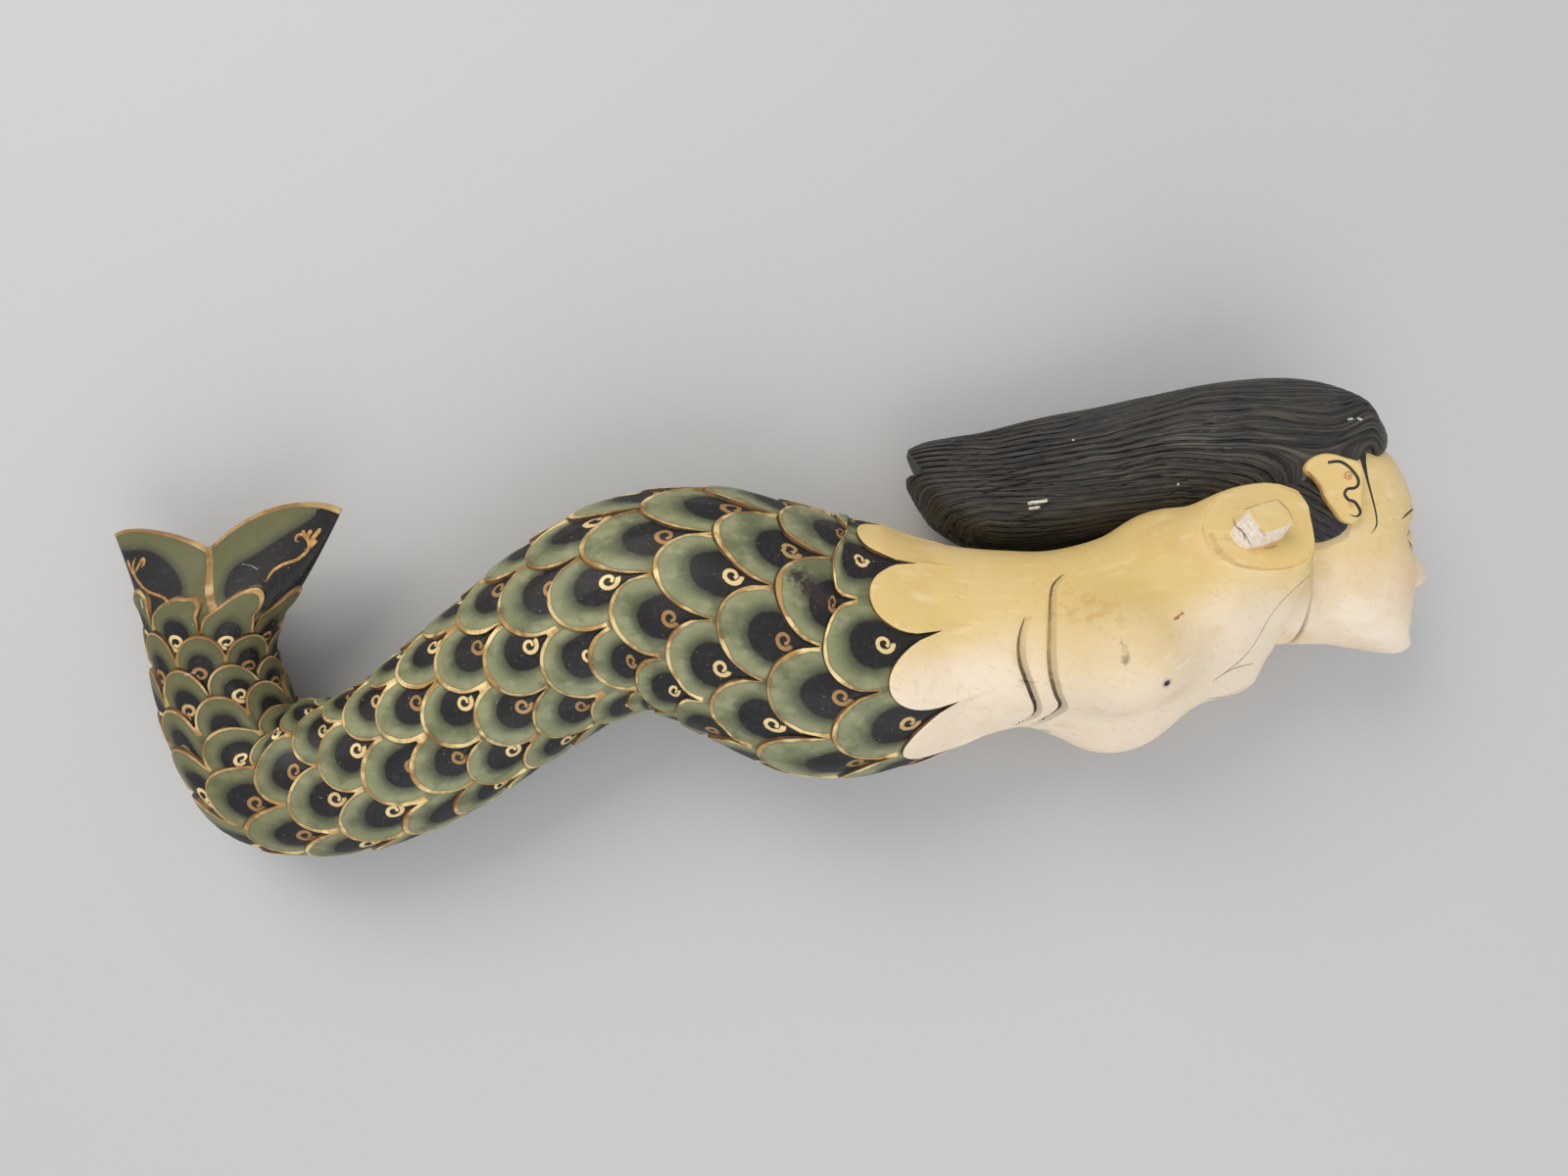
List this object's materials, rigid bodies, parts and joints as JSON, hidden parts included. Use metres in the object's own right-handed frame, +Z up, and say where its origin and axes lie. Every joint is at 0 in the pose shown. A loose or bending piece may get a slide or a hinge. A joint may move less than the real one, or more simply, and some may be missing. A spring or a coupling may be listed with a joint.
{
  "type": "mermaid carving",
  "caption": "Carved and painted wooden mermaid lying on its side, with a scaled curled fish tail, forked fluke, long ridged hair and a square tenon at the shoulder.",
  "frame": {"origin": "centre of the footprint, at the height of the surface that the carving lies on", "axes": "+X from the fluke towards the head, +Y towards the figure's back and hair, +Z up, the figure lying on its left side"},
  "size_m": [0.7996, 0.2891, 0.1581],
  "materials": {
    "painted_tail": "satin paint on carved wood, sage green with gold lines and cream skin",
    "painted_hair": "worn charcoal black paint on carved wood, cream face"
  },
  "bodies": {
    "root": {"torso_and_tail": "painted_tail", "head_and_hair": "painted_hair"}
  },
  "joints": []
}
